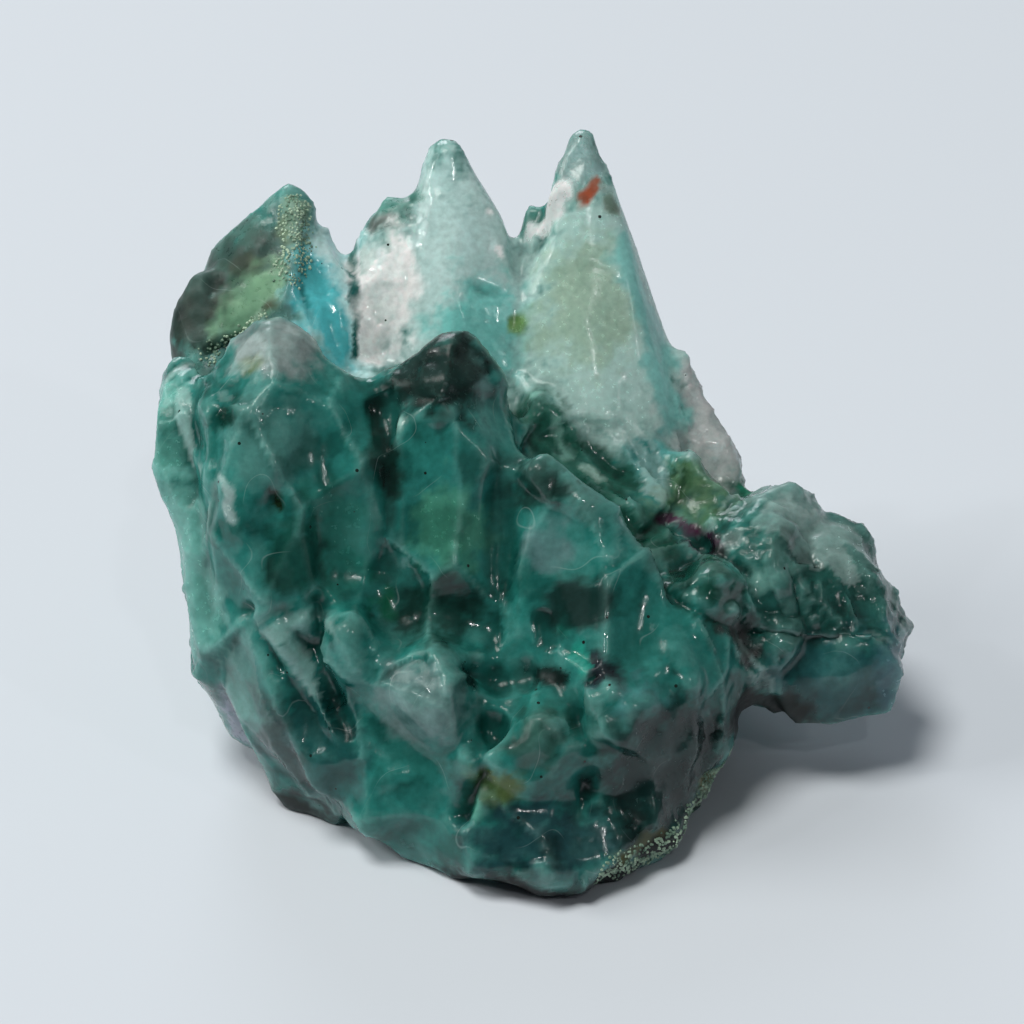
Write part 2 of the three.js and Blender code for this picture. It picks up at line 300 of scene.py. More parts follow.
FLANK = 1.5  # above 1, a ridge's flanks are hollow, as worn glass leaves them
points = points_of(body.data)
height = np.zeros(len(points))
for name, line, reach, rise in STROKES:
    height += rise * np.clip(1 - apart(points, line) / reach, 0, 1) ** FLANK
push(body.data, height)

SURFACES = [
    # where, middle, half sizes, broad faces, long facets, chips, waves, grain, the way its facets run
    ("front wall", (-3, -3, 12), (16, 12, 14), 0.8, 0.08, 0.04, 0.4, 0.1, (0.1, -0.5, -1)),
    ("lower front", (-1, -10, 5), (12, 6, 5.5), 0.8, 0.15, 0.15, 0.8, 0.2, (0.5, -0.6, -0.7)),
    ("lower left slabs", (-12, -6, 7), (5, 4, 6), 0.6, 0.6, 0.1, 0.4, 0.3, (0.6, -0.6, -0.9)),
    ("left sheet", (-18, 3, 16), (2.6, 5, 8), 0.3, 1.0, 0.2, 0.6, 0.8, (0.3, -0.5, -1)),
    ("back", (0, 17, 9), (20, 6, 9), 0.8, 0.9, 0.5, 0.6, 0.2, (0.1, -0.3, -1)),
    ("mossy face", (-15.5, 11.5, 24), (3.4, 4, 4), 0.2, 0.1, 0.15, 0.6, 1.0, (0, -0.4, -1)),
    ("dark lobe", (-18, 11, 22), (2, 3, 4.4), 0.3, 0.3, 0.4, 0.8, 1.0, (0, -0.4, -1)),
    ("clear shards", (-9.6, 12.6, 22.6), (2.8, 4.4, 5.4), 0.2, 1.2, 0.1, 0.2, 0.1, (0.25, -0.3, -1)),
    ("middle point", (-3.2, 13.6, 23.6), (4.6, 6.5, 8), 0.12, 0.07, 0.02, 0.15, 0.06, (0.1, -0.4, -1)),
    ("rough shoulder", (-7, 16, 26.2), (1.7, 2, 2.2), 0.2, 0.5, 1.0, 0.5, 0.6, (0, -0.4, -1)),
    ("left of the point", (-7.4, 13.4, 23.4), (1.3, 3, 3.4), 0.2, 0.9, 0.2, 0.2, 0.1, (0.3, -0.3, -1)),
    ("tall crystal", (5, 11.6, 21), (5.4, 8, 11), 0.15, 0.06, 0.04, 0.2, 0.25, (0.2, -0.4, -1)),
    ("clear ones behind", (11.6, 9, 15.6), (2.4, 4, 5), 0.4, 0.9, 0.8, 0.6, 0.5, (0.3, -0.3, -1)),
    ("valley", (4.4, 4, 15.4), (5.6, 4.4, 3.4), 0.3, 1.1, 0.3, 0.1, 0.3, (0.62, -0.55, -0.56)),
    ("wing", (16.4, 1.4, 9.4), (6.8, 6.6, 6), 0.6, 0.9, 0.8, 0.4, 0.5, (0.7, -0.4, -0.6)),
    ("emerald faces", (10.8, -1.8, 12), (2.6, 2.4, 2.4), 0.9, 0.3, 0.2, 0.2, 0.1, (0.5, -0.5, -0.7)),
    ("wing's end", (18.6, -2.6, 6.2), (4.2, 3.6, 3.2), 0.5, 0.15, 0.1, 0.5, 0.5, (0.9, -0.2, -0.2)),
]
KINDS = ("plane", "facet", "chip", "wave", "grain")
USUAL_SHARE = 0.5  # of each kind, and the way the facets run, outside the places above
USUAL_WAY = (0.1, -0.4, -1.0)
SURFACE_BLEND = 0.15


def feel(mesh):
    """Gives each point of a mesh its share of each kind of surface, and the way its facets run."""
    points = points_of(mesh)
    shares = {kind: np.full(len(points), USUAL_SHARE) for kind in KINDS}
    along = np.tile(USUAL_WAY, (len(points), 1))
    for where, middle, size, *strengths, way in SURFACES:
        share = fade(within(points, middle, size), SURFACE_BLEND)
        for kind, strength in zip(KINDS, strengths):
            shares[kind] += share * (strength - shares[kind])
        along += share[:, None] * (np.array(way) - along)
    along /= np.linalg.norm(along, axis=1)[:, None]
    for kind in KINDS:
        mesh.attributes.new(kind, "FLOAT", "POINT").data.foreach_set("value", shares[kind])
    mesh.attributes.new("along", "FLOAT_VECTOR", "POINT").data.foreach_set("vector", along.ravel())


feel(body.data)
beryl, shading = material("cloudy green beryl")

# The sizes and heights are in millimetres, and a tilt or a scoop is a slope.
tree = bpy.data.node_groups.new("broken faces", "GeometryNodeTree")
tree.interface.new_socket("Geometry", in_out="INPUT", socket_type="NodeSocketGeometry")
BREAKS = {
    "Plane Size": 4.2, "Plane Tilt": 0.16, "Plane Scoop": 0.13, "Plane Stretch": 1.6,
    "Facet Size": 1.7, "Facet Tilt": 0.3, "Facet Scoop": 0.16, "Facet Stretch": 3.4,
    "Chip Size": 0.9, "Chip Tilt": 0.25, "Chip Scoop": 0.3,
    "Wave Size": 4.5, "Wave Height": 0.7, "Grain Size": 0.45, "Grain Height": 0.1,
}
sockets = {}
for name in BREAKS:
    sockets[name] = tree.interface.new_socket(name, in_out="INPUT", socket_type="NodeSocketFloat").identifier
tree.interface.new_socket("Geometry", in_out="OUTPUT", socket_type="NodeSocketGeometry")
inputs = add(tree, "NodeGroupInput").outputs
position = add(tree, "GeometryNodeInputPosition").outputs[0]
in_mm = add(tree, "ShaderNodeVectorMath", {0: position, "Scale": 1 / MM}, operation="SCALE").outputs[0]
way = add(tree, "GeometryNodeInputNamedAttribute", {"Name": "along"}, data_type="FLOAT_VECTOR").outputs[0]


def drawn_out(where, stretch):
    """The place where, squeezed along the facets' way, so that what is drawn there comes out longer."""
    share = add(tree, "ShaderNodeVectorMath", {0: where, 1: way}, operation="DOT_PRODUCT").outputs["Value"]
    short = add(tree, "ShaderNodeMath", {0: 1.0, 1: stretch}, operation="DIVIDE").outputs[0]
    rest = add(tree, "ShaderNodeMath", {0: 1.0, 1: short}, operation="SUBTRACT").outputs[0]
    back = add(tree, "ShaderNodeMath", {0: share, 1: rest}, operation="MULTIPLY").outputs[0]
    squeeze = add(tree, "ShaderNodeVectorMath", {0: way, "Scale": back}, operation="SCALE").outputs[0]
    return add(tree, "ShaderNodeVectorMath", {0: where, 1: squeeze}, operation="SUBTRACT").outputs[0]


MEAN_SQUARE = 0.28  # of the distance to the nearest middle, where the middles lie 1 apart


def scoops(where, size, tilt, depth):
    """Heights of shallow scoops, each tilted its own way, that meet in ridges, as broken glass does."""
    scale = add(tree, "ShaderNodeMath", {0: 1.0, 1: size}, operation="DIVIDE").outputs[0]
    cells = add(tree, "ShaderNodeTexVoronoi", {"Vector": where, "Scale": scale}).outputs
    away = add(tree, "ShaderNodeVectorMath", {0: where, 1: cells["Position"]},
               operation="SUBTRACT").outputs[0]
    middle = (0.5, 0.5, 0.5)
    lean = add(tree, "ShaderNodeVectorMath", {0: cells["Color"], 1: middle}, operation="SUBTRACT").outputs[0]
    steep = add(tree, "ShaderNodeVectorMath", {0: away, 1: lean}, operation="DOT_PRODUCT").outputs["Value"]
    tilted = add(tree, "ShaderNodeMath", {0: steep, 1: tilt}, operation="MULTIPLY").outputs[0]
    bowl = add(tree, "ShaderNodeVectorMath", {0: away, 1: away}, operation="DOT_PRODUCT").outputs["Value"]
    square = add(tree, "ShaderNodeMath", {0: size, 1: size}, operation="MULTIPLY").outputs[0]
    usual = add(tree, "ShaderNodeMath", {0: square, 1: MEAN_SQUARE}, operation="MULTIPLY").outputs[0]
    level = add(tree, "ShaderNodeMath", {0: bowl, 1: usual}, operation="SUBTRACT").outputs[0]
    scooped = add(tree, "ShaderNodeMath", {0: level, 1: depth}, operation="MULTIPLY").outputs[0]
    return add(tree, "ShaderNodeMath", {0: tilted, 1: scooped}, operation="ADD").outputs[0]


def ripples(size, height, detail):
    """Heights of smooth swells of the size given."""
    scale = add(tree, "ShaderNodeMath", {0: 1.0, 1: size}, operation="DIVIDE").outputs[0]
    swell = add(tree, "ShaderNodeTexNoise", {"Vector": in_mm, "Scale": scale, "Detail": detail}).outputs[0]
    level = add(tree, "ShaderNodeMath", {0: swell, 1: 0.5}, operation="SUBTRACT").outputs[0]
    return add(tree, "ShaderNodeMath", {0: level, 1: height}, operation="MULTIPLY").outputs[0]


total = 0.0
for name, pattern in {
    "plane": scoops(drawn_out(in_mm, inputs["Plane Stretch"]),
                    inputs["Plane Size"], inputs["Plane Tilt"], inputs["Plane Scoop"]),
    "facet": scoops(drawn_out(in_mm, inputs["Facet Stretch"]),
                    inputs["Facet Size"], inputs["Facet Tilt"], inputs["Facet Scoop"]),
    "chip": scoops(in_mm, inputs["Chip Size"], inputs["Chip Tilt"], inputs["Chip Scoop"]),
    "wave": ripples(inputs["Wave Size"], inputs["Wave Height"], 1.0),
    "grain": ripples(inputs["Grain Size"], inputs["Grain Height"], 2.0),
}.items():
    strength = add(tree, "GeometryNodeInputNamedAttribute", {"Name": name}, data_type="FLOAT").outputs[0]
    part = add(tree, "ShaderNodeMath", {0: pattern, 1: strength}, operation="MULTIPLY").outputs[0]
    total = add(tree, "ShaderNodeMath", {0: total, 1: part}, operation="ADD").outputs[0]
rise = add(tree, "ShaderNodeMath", {0: total, 1: MM}, operation="MULTIPLY").outputs[0]
outward = add(tree, "GeometryNodeInputNormal").outputs[0]
offset = add(tree, "ShaderNodeVectorMath", {0: outward, "Scale": rise}, operation="SCALE").outputs[0]
moved = add(tree, "GeometryNodeSetPosition", {"Geometry": inputs["Geometry"], "Offset": offset}).outputs[0]
plain = add(tree, "GeometryNodeRealizeInstances", {"Geometry": moved}).outputs[0]
dressed = add(tree, "GeometryNodeSetMaterial", {"Geometry": plain, "Material": beryl}).outputs[0]
add(tree, "NodeGroupOutput", {0: dressed})

breaks = body.modifiers.new("broken faces", "NODES")
breaks.node_group = tree
for name, value in BREAKS.items():
    breaks[sockets[name]] = value
worn = body.modifiers.new("worn", "SMOOTH")
worn.iterations = 2
applied(body)
for name in (*KINDS, "along"):
    body.data.attributes.remove(body.data.attributes[name])

# The root stands flat: nothing of it reaches below the table.
points = points_of(body.data)
points[:, 2] = np.maximum(points[:, 2], 0)
body.data.vertices.foreach_set("co", ((points + np.array(ROOT)) * MM).ravel())
body.data.update()
feel(body.data)
for polygon in body.data.polygons:
    polygon.use_smooth = True

# Where the colour lies. Each zone is a place where the crystal is tinted, clear or frosted in its
# own way, from the body of the whole down to single stains. Some zones are painted shade, in
# hollows, crevices and under the wing, and some are painted highlights, sheen and reflections
# along ridges, rims, edges and the top of the left crystal.
WALL = "#2c827a"
WALL_CLEAR = 0.25
WALL_FROST = 0.14
ZONES = [
    # what it is, its line or its middle, its reach or its half sizes, colour, how clear, how rough
    ("back", [(0, 17, 10)], (20, 7, 11), "#4f8f86", 0.3, 0.25),
    ("left crystal", [(-12, 12, 20)], (7, 6, 9), "#7fb3ad", 0.4, 0.2),
    ("middle point", [(-3.4, 13.8, 22)], (5.4, 6.6, 9.5), "#c6e4e2", 0.25, 0.12),
    ("tall crystal", [(5.4, 11.6, 20)], (5.4, 8, 11.5), "#c0e2dc", 0.25, 0.2),
    ("clear ones behind", [(11.4, 9, 15.4)], (2.6, 4, 5), "#e6efee", 0.5, 0.15),
    ("mossy face", [(-15.6, 12.4, 24.6)], (3.6, 3.6, 3), "#3f645b", 0.15, 0.3),
    ("brown in the moss", [(-16.4, 12.6, 25.2), (-14.8, 12.4, 24.2)], 0.9, "#4f5a48", 0.1, 0.4),
    ("olive band",
     [(-17.2, 9.9, 21.9), (-15.5, 10.6, 22.6), (-13.6, 11.8, 23.8)], 1.3, "#84b090", 0.1, 0.3),
    ("brown lower edge",
     [(-13.2, 11.2, 23.2), (-15, 9.4, 21.8), (-17.2, 8.8, 20.9)], 0.4, "#4a4c30", 0.1, 0.5),
    ("dark lobe", [(-18.6, 11.4, 22.8)], (2.3, 3.2, 5), "#24362e", 0.15, 0.4),
    ("crust", [(-12.5, 14.4, 26.8), (-12.4, 13.4, 25.2)], 0.9, "#869c80", 0.1, 0.6),
    ("clear shards", [(-9.6, 12.4, 22.8)], (2.8, 4.8, 6), "#d2fbfd", 0.2, 0.08),
    ("cyan streak",
     [(-11.6, 12.4, 24.6), (-11, 10.6, 22.6), (-10.3, 9.4, 20.4)], 1.4, "#5cc8d0", 0.15, 0.12),
    ("white strip", [(-8.8, 13.4, 23.6), (-8.4, 12, 22.4), (-7.9, 10.8, 19.6)], 0.9, "#ffffff", 0.1, 0.2),
    ("dark line beside the strip",
     [(-9.4, 13.4, 23.6), (-8.9, 11.6, 21.6), (-8.7, 10.4, 20)], 0.35, "#2f7a76", 0.3, 0.1),
    ("second dark line", [(-7.5, 13.8, 24), (-7.2, 12, 21.6)], 0.32, "#4a8e88", 0.3, 0.1),
    ("dark lines in the shards", [(-9.2, 14.9, 24.6), (-8.6, 13.4, 22.6)], 0.35, "#5d9a92", 0.4, 0.1),
    ("rough shoulder", [(-7, 16, 26.4)], (1.6, 1.8, 1.6), "#4c8c80", 0.3, 0.3),
    ("grey on the shoulder", [(-7.8, 15.4, 25.6)], (0.9, 1, 0.8), "#6c7470", 0.2, 0.4),
    ("white left of the point", [(-7.2, 12.8, 22.8)], (1.8, 3.2, 3.6), "#ffffff", 0.15, 0.1),
    # a painted reflection: white along the right edge of the point
    ("painted reflection along the point's edge",
     [(-1.4, 15.6, 26.2), (-0.6, 14, 24.6), (0, 13, 23.8)], 0.3, "#ffffff", 0.1, 0.1),
    ("turquoise foot of the point", [(-1.8, 10.8, 21.2)], (2.8, 3.2, 2.6), "#8ee0da", 0.3, 0.12),
    ("small dark crystal", [(1, 16.4, 25.2)], (1.1, 1.4, 2), "#4f8a80", 0.3, 0.2),
    ("tall crystal's tip", [(3.8, 17.4, 28.6)], (1.7, 2, 2), "#a9c8c6", 0.5, 0.2),
    ("brown under the tip", [(5.6, 15.6, 27)], (0.7, 0.8, 0.9), "#6b7260", 0.2, 0.4),
    ("rust stain", [(3.8, 15.8, 27), (5, 15.6, 27.8)], 0.55, "#a8502e", 0.05, 0.5),
    ("sage middle", [(4.4, 11.6, 22.6)], (3, 3.4, 4.4), "#aac8b6", 0.25, 0.2),
    ("green down the right", [(6.8, 14.2, 25), (8, 11.6, 20.6), (9.3, 9, 17)], 1.1, "#98dcd6", 0.35, 0.15),
    ("white spur", [(2.6, 16.2, 27.3), (1.3, 15.4, 24.2)], 0.55, "#eef4f4", 0.3, 0.3),
    ("green spot", [(0.8, 11.3, 21.6)], (0.5, 0.8, 0.8), "#7da864", 0.2, 0.2),
    ("turquoise foot of the tall one", [(8.2, 6, 15)], (2.2, 2, 1.9), "#66b5b1", 0.3, 0.12),
    ("valley",
     [(1.2, 6.6, 17.6), (3, 5.2, 16.4), (5, 4.2, 14.9), (7.6, 1.6, 13.2)], 1.9, "#286a5a", 0.3, 0.1),
    # painted highlights along the ridges in the valley
    ("painted highlight on the valley's first ridge",
     [(1.4, 7.4, 18.6), (2.4, 6, 17.4), (3.4, 5.2, 16.6)], 0.5, "#8cc4b6", 0.3, 0.1),
    ("painted highlight on the valley's second ridge", [(4.2, 4.4, 15.6), (6, 2.8, 14.2)], 0.4, "#9fc4b8", 0.3, 0.1),
    ("olive face", [(10.9, 4.2, 14)], (2.4, 2.4, 2), "#5f8862", 0.3, 0.15),
    ("wing", [(16.8, 1, 9.6)], (7, 7, 6.4), "#2b6a62", 0.35, 0.15),
    ("first knob of the wing", [(15.4, 4.8, 13)], (2.6, 2.4, 2.4), "#a4cbc6", 0.6, 0.15),
    ("emerald patch", [(13.6, 6.4, 12.8)], (0.9, 1.2, 1), "#25a380", 0.4, 0.1),
    ("second knob of the wing", [(19.2, 2.8, 11.4)], (2.4, 2.4, 2.2), "#6f9f98", 0.5, 0.2),
    ("pale knob below it", [(14.4, -0.6, 12.4)], (1.2, 1, 0.8), "#6fa39a", 0.3, 0.15),
    ("wing's end", [(18.6, -2.8, 6.4)], (4.4, 3.4, 3), "#2a6567", 0.3, 0.15),
    ("blue side of the wing's end", [(21.6, -2, 6.6)], (1.2, 2.4, 2.4), "#41707c", 0.3, 0.2),
    ("emerald faces", [(10.6, -1.8, 12.2)], (2.4, 2.2, 2.2), "#0b5848", 0.5, 0.06),
    ("brown in the wing", [(12.6, -3.8, 9.8)], (1.5, 1.2, 1.5), "#3b3a3a", 0.1, 0.3),
    # painted shade on the underside of the wing
    ("painted shade under the wing",
     [(10.6, -6.4, 5.4), (13.4, -4.4, 5.6), (16, -3, 4.4)], 1.7, "#151b18", 0.1, 0.5),
    # a painted sheen: grey haze of reflected light on the top of the left crystal
    ("painted sheen on the left crystal's top", [(-12.9, 4.8, 24)], (3.2, 2.4, 1.5), "#8b9a99", 0.2, 0.15),
    ("olive in the left crystal", [(-14.2, 3.4, 23.3)], (0.9, 0.8, 0.7), "#5f6f45", 0.15, 0.15),
    ("cloud in the left crystal", [(-13.6, -0.4, 20.6)], (2.4, 2.4, 2.4), "#54918a", 0.25, 0.12),
    ("deep green in the left crystal", [(-15.1, 1.4, 21.9)], (0.9, 0.9, 0.8), "#0f5a4e", 0.3, 0.12),
    ("green right lobe", [(-9.6, -2, 15.8)], (2.2, 2.4, 3.4), "#2c8376", 0.25, 0.2),
    ("deep green below the left crystal", [(-11.8, -3.2, 15.2)], (1.7, 1.7, 2.3), "#17564c", 0.25, 0.14),
    # a painted highlight along the ridge down the left lobe
    ("ridge",
     [(-18.2, 4.2, 20.6), (-17.4, 2.3, 18.6), (-15.5, -1.6, 18.6), (-14.9, -2.8, 16.8)],
     0.5, "#93aba9", 0.1, 0.2),
    # painted shade in the slit
    ("painted shade in the slit", [(-13, -2.1, 18.6), (-13.1, -2.4, 17.7)], 0.4, "#1d3418", 0.1, 0.2),
    ("left sheet", [(-19, 5, 20), (-18, 0, 14.6), (-16.6, -2.6, 10)], 1.8, "#78bcb2", 0.3, 0.2),
    # painted shade in the crevices of the sheet
    ("painted shade in the sheet's crevices",
     [(-17.3, 2.4, 17.6), (-16.8, -0.4, 14.6), (-16, -2.6, 11.5)], 0.5, "#12332e", 0.1, 0.3),
    ("dark top of the middle crystal", [(-4, 4.4, 22.6)], (3.2, 3.8, 2.8), "#0f2a25", 0.15, 0.22),
    ("dark side of the middle crystal", [(-7.4, 3.2, 20.6), (-7, 0, 17.4)], 0.8, "#1c463e", 0.2, 0.12),
    # a painted highlight along the rim under the dark top
    ("painted highlight on the rim under the dark top",
     [(-6.3, 2.4, 20.7), (-4.2, 1.6, 20.7), (-2.6, 2.8, 21.2)], 0.35, "#8fb5ac", 0.2, 0.12),
    ("green heart of the middle crystal", [(-3.6, -1.6, 16)], (2, 2, 3), "#4c9882", 0.25, 0.2),
    ("foot of the middle crystal", [(-4.2, -4.4, 12.4)], (3, 2, 2), "#14443c", 0.2, 0.12),
    ("top of the right lobe", [(1.8, -0.2, 17.8)], (1.8, 1.8, 2), "#1d4841", 0.25, 0.12),
    ("cloud in the right lobe", [(1.8, -3, 15.4)], (1.3, 1.4, 1.3), "#5c8484", 0.2, 0.12),
    ("brown cloud in the right lobe", [(3.4, -5.2, 13.4)], (1.7, 1.5, 1.7), "#274a46", 0.15, 0.12),
    ("purple brown in the right lobe", [(4.9, -7.9, 10.6)], (1.3, 1.5, 1.6), "#1c222a", 0.1, 0.15),
    ("bright green wedge", [(2.9, -6, 12.4), (4.6, -8.3, 9.6)], 0.6, "#2ba594", 0.3, 0.1),
    ("turquoise cloud", [(6.4, -8.8, 9.4)], (1.9, 1.4, 1.2), "#6ab4b5", 0.2, 0.12),
    ("cloudy knob", [(-4.8, -8.8, 9.4)], (2.6, 2.2, 2.2), "#6f9290", 0.25, 0.12),
    # painted shade in the hollows above the lower knobs
    ("hollows", [(-3, -7.2, 10.4), (-1.2, -7.4, 10.2)], 0.7, "#0c2622", 0.1, 0.3),
    ("more hollows", [(0.6, -7, 10.1), (2.6, -7.4, 9.8)], 0.7, "#0c2622", 0.1, 0.3),
    ("grey-green knob", [(1.4, -10.4, 7.6)], (1.8, 1.6, 2.6), "#35635a", 0.2, 0.15),
    ("olive in the lower front", [(-0.8, -11.4, 5.6)], (1.7, 1.2, 1.4), "#556a3c", 0.15, 0.2),
    ("turquoise ring", [(-2.3, -12, 4.6)], (0.6, 0.6, 0.6), "#4fb39a", 0.2, 0.1),
    ("emerald spot", [(-7, -3.8, 12.6)], (0.8, 0.8, 0.9), "#128a68", 0.5, 0.08),
    ("blue-green foot", [(1.4, -13.2, 3.2)], (5, 2, 2), "#1f4a4e", 0.25, 0.15),
    ("deep lower left", [(-11, -8, 5.4)], (3.4, 2.6, 4), "#1d5a58", 0.25, 0.15),
    ("deep foot on the right", [(8.4, -9.6, 5.4)], (4, 4.6, 4.4), "#0d3633", 0.2, 0.2),
    ("lilac face", [(-15.4, -3, 4.8)], (1.5, 2, 2.8), "#a6a9b8", 0.1, 0.3),
    ("olive rim", [(5.6, -13.4, 2), (7.6, -12.2, 2.2)], 0.8, "#625f34", 0.1, 0.6),
    ("olive rim by the wing", [(10.8, -7.6, 2.4), (11.8, -4.6, 3)], 0.9, "#79744a", 0.1, 0.6),
    ("dark rim",
     [(-6, -12.6, 0.2), (-1.8, -14.2, 0.2), (4.8, -13.9, 0.4), (8.8, -11.8, 0.8), (11, -7, 1),
     (12.2, -2, 1.6)],
     1.3, "#0e1214", 0.1, 0.6),
    ("dark rim on the left", [(-16, -1, 1), (-13.6, -5, 0.6), (-9.6, -9.6, 0.2)], 1.0, "#232a28", 0.1, 0.6),
    ("vein in the valley",
     [(8.4, 3.2, 13.2), (10.6, 1.4, 12.7), (11.8, 0.4, 12.5)], 0.6, "#4a1238", 0.1, 0.2),
    ("dark end of the vein", [(11.8, 0.4, 12.5), (13.4, -0.8, 12.1)], 0.45, "#14201f", 0.1, 0.2),
]
SWIRLS = [(2.4, 0.9), (0.8, 0.35)]  # sizes and depths, in millimetres, of the swirls in the zones' edges
RAGS = [(0.9, 0.4), (0.3, 0.25)]  # sizes, in millimetres, and shares of the rags along them
ZONE_BLEND = 0.35
SWIRL_SEED = 3


def noise_of(points, size):
    """Smooth noise from -1 to 1 at each point, with swells of the size given."""
    return np.array([noise.noise(Vector(point) / size) for point in points])


def bulge(mesh, rings):
    """How many millimetres each point stands out of what lies up to that many rings of edges around it."""
    count = len(mesh.vertices)
    ends = np.empty(2 * len(mesh.edges), dtype=int)
    mesh.edges.foreach_get("vertices", ends)
    near, far = np.concatenate((ends, ends.reshape(-1, 2)[:, ::-1].ravel())).reshape(-1, 2).T
    neighbours = np.bincount(near, minlength=count)
    around = points_of(mesh)
    for ring in range(rings):
        sums = [np.bincount(near, around[far, axis], count) for axis in range(3)]
        around = np.stack(sums, axis=1) / neighbours[:, None]
    normals = np.empty(3 * count)
    mesh.vertex_normals.foreach_get("vector", normals)
    return ((points_of(mesh) - around) * normals.reshape(-1, 3)).sum(axis=1)


noise.seed_set(SWIRL_SEED)
points = points_of(body.data)
swirled = points.copy()
for size, depth in SWIRLS:
    swirled += depth * np.array([noise.noise_vector(Vector(point) / size) for point in points])
ragged = sum(share * noise_of(points, size) for size, share in RAGS)
tint = np.tile(linear(WALL), (len(points), 1))
clear = np.full(len(points), WALL_CLEAR)
frost = np.full(len(points), WALL_FROST)
for name, line, size, colour, clearness, roughness in ZONES:
    away = within(swirled, line[0], size) if isinstance(size, tuple) else apart(swirled, line) / size
    share = fade(away + ragged * min(1, np.min(size)), ZONE_BLEND)
    tint += share[:, None] * (np.array(linear(colour)) - tint)
    clear += share * (clearness - clear)
    frost += share * (roughness - frost)


def ramp(values, start, end):
    """0 up to start, 1 from end on, and a straight rise between them."""
    return np.clip((values - start) / (end - start), 0, 1)


# Clouds of fluid drops, some dark and some milky. They show most in the deep green parts.
DARK_CLOUD = (0.12, 0.32, 0.3, 1)  # what is left of the tint under the thickest dark cloud
DARK_MOST = 0.8
MILKY_CLOUD = linear("#74bdb5")
MILKY_MOST = 0.35
CLOUDS = [(2.6, 0.7), (1.1, 0.4), (0.5, 0.2)]  # sizes in millimetres, and shares
CLOUDS_FROM = 40  # where in the noise the clouds are taken, so that they don't follow the rags
cloud = sum(share * noise_of(swirled + CLOUDS_FROM, size) for size, share in CLOUDS)
paleness = tint[:, :3].mean(axis=1)
cloudy = np.clip(1.1 - 2 * paleness, 0.12, 1)
bright = np.clip(8 * paleness, 0.05, 1)
dark = ramp(-cloud, 0.015, 0.315) * DARK_MOST * cloudy
milky = ramp(cloud, 0.1, 0.6) * MILKY_MOST * cloudy * bright
tint *= 1 - dark[:, None] * (1 - np.array(DARK_CLOUD))
tint += milky[:, None] * (np.array(MILKY_CLOUD) - tint)

# Long splinters inside the faceted parts get painted reflections, each its own: about a fifth of
# them a painted white flash, and a fifth a painted dark reflection.
SPLINTER_DARK_REFLECTION = (0.3, 0.55, 0.5, 1)  # what is left of the tint in the darkest ones
DARK_REFLECTION_SHARE = 0.6
SPLINTER_FLASH = linear("#d6ebe8")
FLASH_SHARE = 0.5
SPLINTER_SHUFFLE = 97  # sets the shades of splinters that lie side by side apart
ways = np.empty(3 * len(points))
body.data.attributes["along"].data.foreach_get("vector", ways)
ways = ways.reshape(-1, 3)
faceted = np.empty(len(points))
body.data.attributes["facet"].data.foreach_get("value", faceted)
faceted = np.clip(faceted, 0, 1)
lengthwise = (points * ways).sum(axis=1) * (1 - 1 / BREAKS["Facet Stretch"])
drawn = (points - lengthwise[:, None] * ways) / BREAKS["Facet Size"]
middles = [noise.voronoi(Vector(spot))[1][0] for spot in drawn]
splinter = np.array([noise.cell(middle * SPLINTER_SHUFFLE) for middle in middles]) % 1
# painted white flashes and painted dark reflections in the splinters
white = ramp(splinter, 0.8, 1) * FLASH_SHARE * faceted * bright
shady = ramp(-splinter, -0.24, -0.04) * DARK_REFLECTION_SHARE * faceted
tint += white[:, None] * (np.array(SPLINTER_FLASH) - tint)
tint *= 1 - shady[:, None] * (1 - np.array(SPLINTER_DARK_REFLECTION))

# Painted shade darkens crevices, and a painted highlight makes thin edges paler than the mass behind them.
CREVICE_SHADE = (0.2, 0.32, 0.3, 1)  # what the painted shade leaves of the tint in the deepest ones
CREVICE_SHARE = 0.45  # of the darkening, for fine crevices and again for broad ones
CREVICE_MOST = 0.8
FINE_RINGS, FINE_DEEP = 5, 0.1  # edges round a point that a fine crevice spans, and a deep one's millimetres
BROAD_RINGS, BROAD_DEEP = 40, 0.5
EDGE_HIGHLIGHT_COLOUR = linear("#a4d8d0")
EDGE_HIGHLIGHT_SHARE = 0.2
fine_bulge = bulge(body.data, FINE_RINGS)
broad_bulge = bulge(body.data, BROAD_RINGS)
crevice = (ramp(-fine_bulge, 0, FINE_DEEP) + ramp(-broad_bulge, 0, BROAD_DEEP)) * CREVICE_SHARE
crevice *= np.clip(1.25 - 1.1 * tint[:, :3].mean(axis=1), 0.3, 1)
edge = ramp(fine_bulge, 0.02, 0.12)
# painted shade in the crevices
tint *= 1 - np.clip(crevice, 0, CREVICE_MOST)[:, None] * (1 - np.array(CREVICE_SHADE))
# painted highlight along the thin edges
tint += (edge * bright * EDGE_HIGHLIGHT_SHARE)[:, None] * np.maximum(np.array(EDGE_HIGHLIGHT_COLOUR) - tint, 0)
tint[:, 3] = 1

# Some parts, a few millimetres across, are cracked and others are sound.
CRACKED_FROM = 90
CRACKED_SIZE = 2.2
cracked = np.clip(3 * noise_of(points + CRACKED_FROM, CRACKED_SIZE) - 0.2, 0, 1)
glass = np.stack((clear, frost, cracked), axis=1)
body.data.attributes.new("tint", "FLOAT_COLOR", "POINT").data.foreach_set("color", tint.ravel())
body.data.attributes.new("glass", "FLOAT_VECTOR", "POINT").data.foreach_set("vector", glass.ravel())

